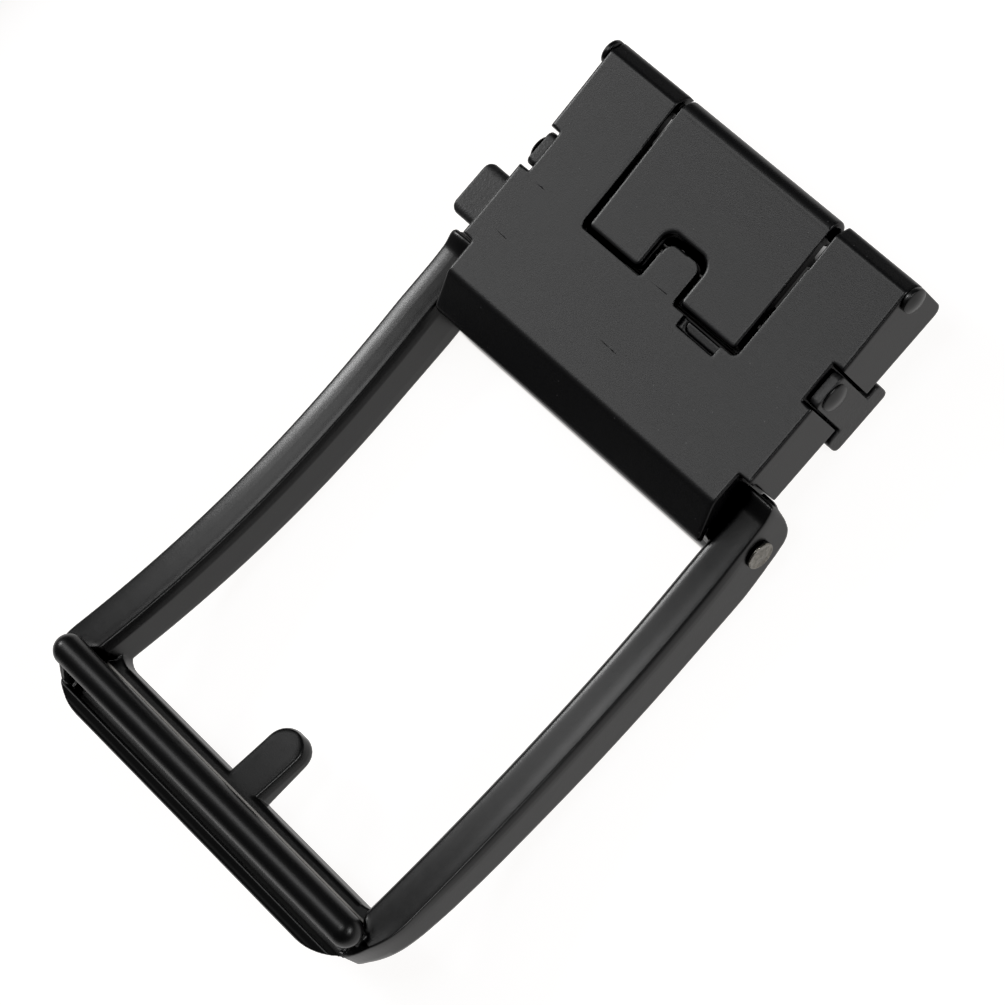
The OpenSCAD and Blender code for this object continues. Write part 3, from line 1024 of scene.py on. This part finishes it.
def metal(name, base, rough, grain, size, wave, dust=0.0, metallic=0.0):
    """Matt coated metal: fine speckle, a soft unevenness, cloudy gloss and a few dust specks."""
    cloud_size = 6.0
    wave_size = 1.8
    dust_size = 1.3
    speck_r, speck_edge = 0.035, 0.06
    speck_colour = (0.25, 0.25, 0.25)
    darker, paler = 0.7, 1.3
    gloss_change = 0.015
    fine_depth, broad_depth = 0.02, 0.1
    mat = bpy.data.materials.new(name)
    mat.use_nodes = True
    tree = mat.node_tree
    shader = tree.nodes["Principled BSDF"]
    shader.inputs["Metallic"].default_value = metallic
    where = object_place(tree)

    def pattern(kind, width):
        node = tree.nodes.new(kind)
        feed(tree, node.inputs["Scale"], 1.0 / (width * MM))
        feed(tree, node.inputs["Vector"], where)
        return node

    def noise(width, detail):
        node = pattern("ShaderNodeTexNoise", width)
        feed(tree, node.inputs["Detail"], detail)
        return node.outputs["Fac"]

    def bump(height, strength, depth):
        node = tree.nodes.new("ShaderNodeBump")
        feed(tree, node.inputs["Height"], height)
        feed(tree, node.inputs["Strength"], strength)
        feed(tree, node.inputs["Distance"], depth * MM)
        return node

    speckle = noise(size, 2.0)
    clouds = noise(cloud_size, 3.0)
    tone = blend(tree, remap(tree, speckle, 0.3, 0.7),
                 tuple(c * darker for c in base), tuple(c * paler for c in base))
    if dust:
        cells = pattern("ShaderNodeTexVoronoi", dust_size)
        specks = remap(tree, cells.outputs["Distance"], speck_r, speck_edge, dust, 0.0)
        tone = blend(tree, specks, tone, speck_colour)
    feed(tree, shader.inputs["Base Color"], tone)
    gloss = remap(tree, clouds, 0.3, 0.7, rough - gloss_change, rough + gloss_change)
    feed(tree, shader.inputs["Roughness"], gloss)

    fine = bump(speckle, grain, fine_depth)
    broad = bump(noise(wave_size, 1.0), wave, broad_depth)
    feed(tree, broad.inputs["Normal"], fine.outputs["Normal"])
    feed(tree, shader.inputs["Normal"], broad.outputs["Normal"])
    return mat


def casting_look():
    """Black casting, with a paler painted trough under the rod and a painted highlight along the
    ledge.
    """
    mat = metal("black_casting_look", (0.005, 0.005, 0.0052), rough=0.3, grain=0.3, size=0.1,
                wave=0.12, dust=0.05)
    tree = mat.node_tree
    axes = object_axes(tree)

    def near(axis, centre, half, soft):
        """1 within half a width of a centre, in millimetres, and 0 beyond a soft border."""
        offset = (centre - ORIGIN["XYZ".index(axis)]) * MM
        away = maths(tree, "ABSOLUTE", maths(tree, "SUBTRACT", axes[axis], offset))
        return remap(tree, away, (half + soft) * MM, half * MM)

    def both(one, two):
        return maths(tree, "MULTIPLY", one, two)

    # Paler grey painted on the trough floor under the rod.
    trough = both(near("X", -48.0, 1.6, 0.2), near("Z", -2.1, 0.3, 0.3))
    repaint(tree, trough, None, (0.09, 0.09, 0.09))
    # Painted highlight: a pale strip along the ledge's edge beside the rod.
    ledge_highlight = both(near("X", -46.03, 0.05, 0.07), near("Z", -1.5, 0.3, 0.2))
    ledge_highlight = both(ledge_highlight, near("Y", 0.0, 17.6, 0.8))
    repaint(tree, ledge_highlight, None, (0.55, 0.53, 0.5))
    return mat


def rod_look():
    """A finer grained coat than the sheet's."""
    return metal("black_rod_look", (0.005, 0.005, 0.0053), rough=0.33, grain=0.3, size=0.1,
                 wave=0.06)


def sheet_look():
    """The dusty coat of the housing and the flap."""
    return metal("black_sheet_look", (0.006, 0.006, 0.0065), rough=0.34, grain=0.5, size=0.12,
                 wave=0.05, dust=0.2)


def pin_look():
    """The glossier coat of both pins."""
    return metal("black_pin_look", (0.006, 0.006, 0.0062), rough=0.3, grain=0.3, size=0.1,
                 wave=0.1)


def lever_look():
    """A coat with a coarser grain than the others."""
    return metal("black_lever_look", (0.02, 0.02, 0.0205), rough=0.4, grain=1.4, size=0.24,
                 wave=0.2)


def rivet_look():
    """Bare steel on the head's face, black coat down its side and on the hidden tail."""
    coat_to = 21.33
    bare_from = 21.4
    mat = metal("rivet_steel_look", (0.2, 0.19, 0.17), rough=0.22, grain=0.9, size=0.25,
                wave=0.5, metallic=1.0)
    tree = mat.node_tree
    from_middle = maths(tree, "ADD", object_axes(tree)["Y"], ORIGIN[1] * MM)
    bare = remap(tree, maths(tree, "ABSOLUTE", from_middle), coat_to * MM, bare_from * MM)
    repaint(tree, bare, (0.012, 0.012, 0.012), None)
    feed(tree, tree.nodes["Principled BSDF"].inputs["Metallic"], bare)
    return mat


# Pieces in their places

def dress(obj, mat):
    """Gives an object its only material."""
    obj.data.materials.clear()
    obj.data.materials.append(mat)


def fit(piece, mat, node, body):
    """Puts a finished piece in the place of its plain node."""
    dress(piece, mat)
    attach(piece, body)
    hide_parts(node)


def buckle():
    """Every piece with its look, the node that it replaces and its body."""
    casting = casting_look()
    rod = rod_look()
    sheet = sheet_look()
    pin = pin_look()
    lever = lever_look()
    steel = rivet_look()
    fit(frame_piece(), casting, "frame", "frame")
    fit(rod_piece(), rod, "guide_rod", "frame")
    fit(housing_piece(), sheet, "housing", "housing")
    fit(flap_piece(), sheet, "clamp_flap", "flap")
    flap_pin = headed_bar(FLAP_HINGE, head_r=1.25, face=19.5, name="flap_pin_bar")
    fit(flap_pin, pin, "flap_pin", "housing")
    fit(lever_piece(), lever, "release_lever", "lever")
    lever_pin = headed_bar(LEVER_HINGE, head_r=1.33, face=19.2, name="lever_pin_bar")
    fit(lever_pin, pin, "lever_pin", "housing")
    fit(rivet_piece(1, "rivet_left"), steel, "hinge_rivet_left", "frame")
    fit(rivet_piece(-1, "rivet_right"), steel, "hinge_rivet_right", "frame")


# Studio

def table_glow(tree):
    """Brightness of the table: pale round the buckle, fading outwards, with a shadow painted dark
    under the box.
    """
    fade_from, fade_to = 70, 100
    bright, dim, painted_shadow_glow = 0.62, 0.1, 0.02
    reach = tree.nodes.new("ShaderNodeVectorMath")
    reach.operation = "LENGTH"
    feed(tree, reach.inputs[0], object_place(tree))
    pale = remap(tree, reach.outputs["Value"], fade_from * MM, fade_to * MM, bright, dim,
                 "SMOOTHSTEP")
    axes = object_axes(tree)

    def border(axis, start, width):
        """Rises from 0 at start to 1 over a width, along one axis in millimetres."""
        return remap(tree, axes[axis], start * MM, (start + width) * MM, kind="SMOOTHSTEP")

    # Painted shadow: the glow falls to dark over the box's footprint, from under the neck to the far
    # end.
    sides = [border("X", -3.9 - ORIGIN[0], 0.5), border("X", BOX_END - ORIGIN[0], -4.0),
             border("Y", -17.2 - ORIGIN[1], 1.6), border("Y", WALL_OUT - ORIGIN[1], -4.0)]
    under = sides[0]
    for side in sides[1:]:
        under = maths(tree, "MULTIPLY", under, side)
    return remap(tree, under, to_low=pale, to_high=painted_shadow_glow)


def floor():
    """Pale table lit softly from below as well, so that it stays nearly free of shadow."""
    bm = bmesh.new()
    bmesh.ops.create_grid(bm, x_segments=1, y_segments=1, size=2.0)
    obj = mesh_object(bm, "table_top")
    mat = bpy.data.materials.new("table_glass")
    mat.use_nodes = True
    shader = mat.node_tree.nodes["Principled BSDF"]
    shader.inputs["Base Color"].default_value = (0.2, 0.2, 0.2, 1)
    shader.inputs["Roughness"].default_value = 0.9
    shader.inputs["Specular IOR Level"].default_value = 0.0
    shader.inputs["Emission Color"].default_value = (1.0, 0.985, 0.975, 1)
    feed(mat.node_tree, shader.inputs["Emission Strength"], table_glow(mat.node_tree))
    dress(obj, mat)


def soft_box(name, direction, size, glow):
    """A rectangular lamp that faces the buckle from a direction, with its brightness as seen."""
    distance = 0.9
    data = bpy.data.lights.new(name, "AREA")
    data.shape = "RECTANGLE"
    data.size, data.size_y = size
    data.energy = glow * math.pi * size[0] * size[1]
    lamp = bpy.data.objects.new(name, data)
    way = Vector(direction).normalized()
    lamp.location = way * distance
    lamp.rotation_euler = way.to_track_quat("Z", "Y").to_euler()
    bpy.context.scene.collection.objects.link(lamp)


def camera():
    """The photo's view, as right, down and forward directions of its frame."""
    right = Vector((0.65278, -0.64515, -0.39706))
    down = Vector((-0.75577, -0.59046, -0.28313))
    ahead = Vector((-0.05179, 0.48491, -0.87303))
    data = bpy.data.cameras.new("photo_view")
    data.sensor_fit = "HORIZONTAL"
    data.sensor_width = 36.0
    data.lens = 157.85
    data.clip_start = 0.02
    data.clip_end = 20.0
    obj = bpy.data.objects.new("photo_view", data)
    turn = Matrix((right, -down, -ahead)).transposed().to_4x4()
    stand = place(7.64, -184.70, 328.78)
    obj.matrix_world = Matrix.Translation(stand) @ turn
    bpy.context.scene.collection.objects.link(obj)
    bpy.context.scene.camera = obj


def finish_picture():
    """Plain colours with a photo's bright finish: dark tones as they are, pale paper to white."""
    view = bpy.context.scene.view_settings
    view.view_transform = "Standard"
    view.use_curve_mapping = True
    view.curve_mapping.black_level = (0.003, 0.003, 0.003)
    curve = view.curve_mapping.curves[3]
    curve.points[0].location = (0.0, 0.0)
    curve.points[1].location = (0.7, 1.0)
    for x, y in ((0.2, 0.2), (0.4, 0.42), (0.64, 0.95)):
        curve.points.new(x, y)
    view.curve_mapping.update()


def studio():
    """Table, four soft lamps and a dim room."""
    floor()
    soft_box("lamp_top", (0.03, 0.1, 0.99), (0.3, 0.26), 5.0)
    soft_box("lamp_over", (0.065, 0.52, 0.85), (0.31, 0.4), 1.95)
    soft_box("lamp_back", (-0.08, 0.8, 0.6), (0.14, 0.14), 34.0)
    soft_box("lamp_front", (0.36, -0.75, 0.56), (0.45, 0.12), 12.0)
    world = bpy.data.worlds.new("room")
    world.use_nodes = True
    room_light = world.node_tree.nodes["Background"]
    room_light.inputs["Color"].default_value = (1, 1, 1, 1)
    room_light.inputs["Strength"].default_value = 0.07
    bpy.context.scene.world = world
    finish_picture()


buckle()
studio()
camera()
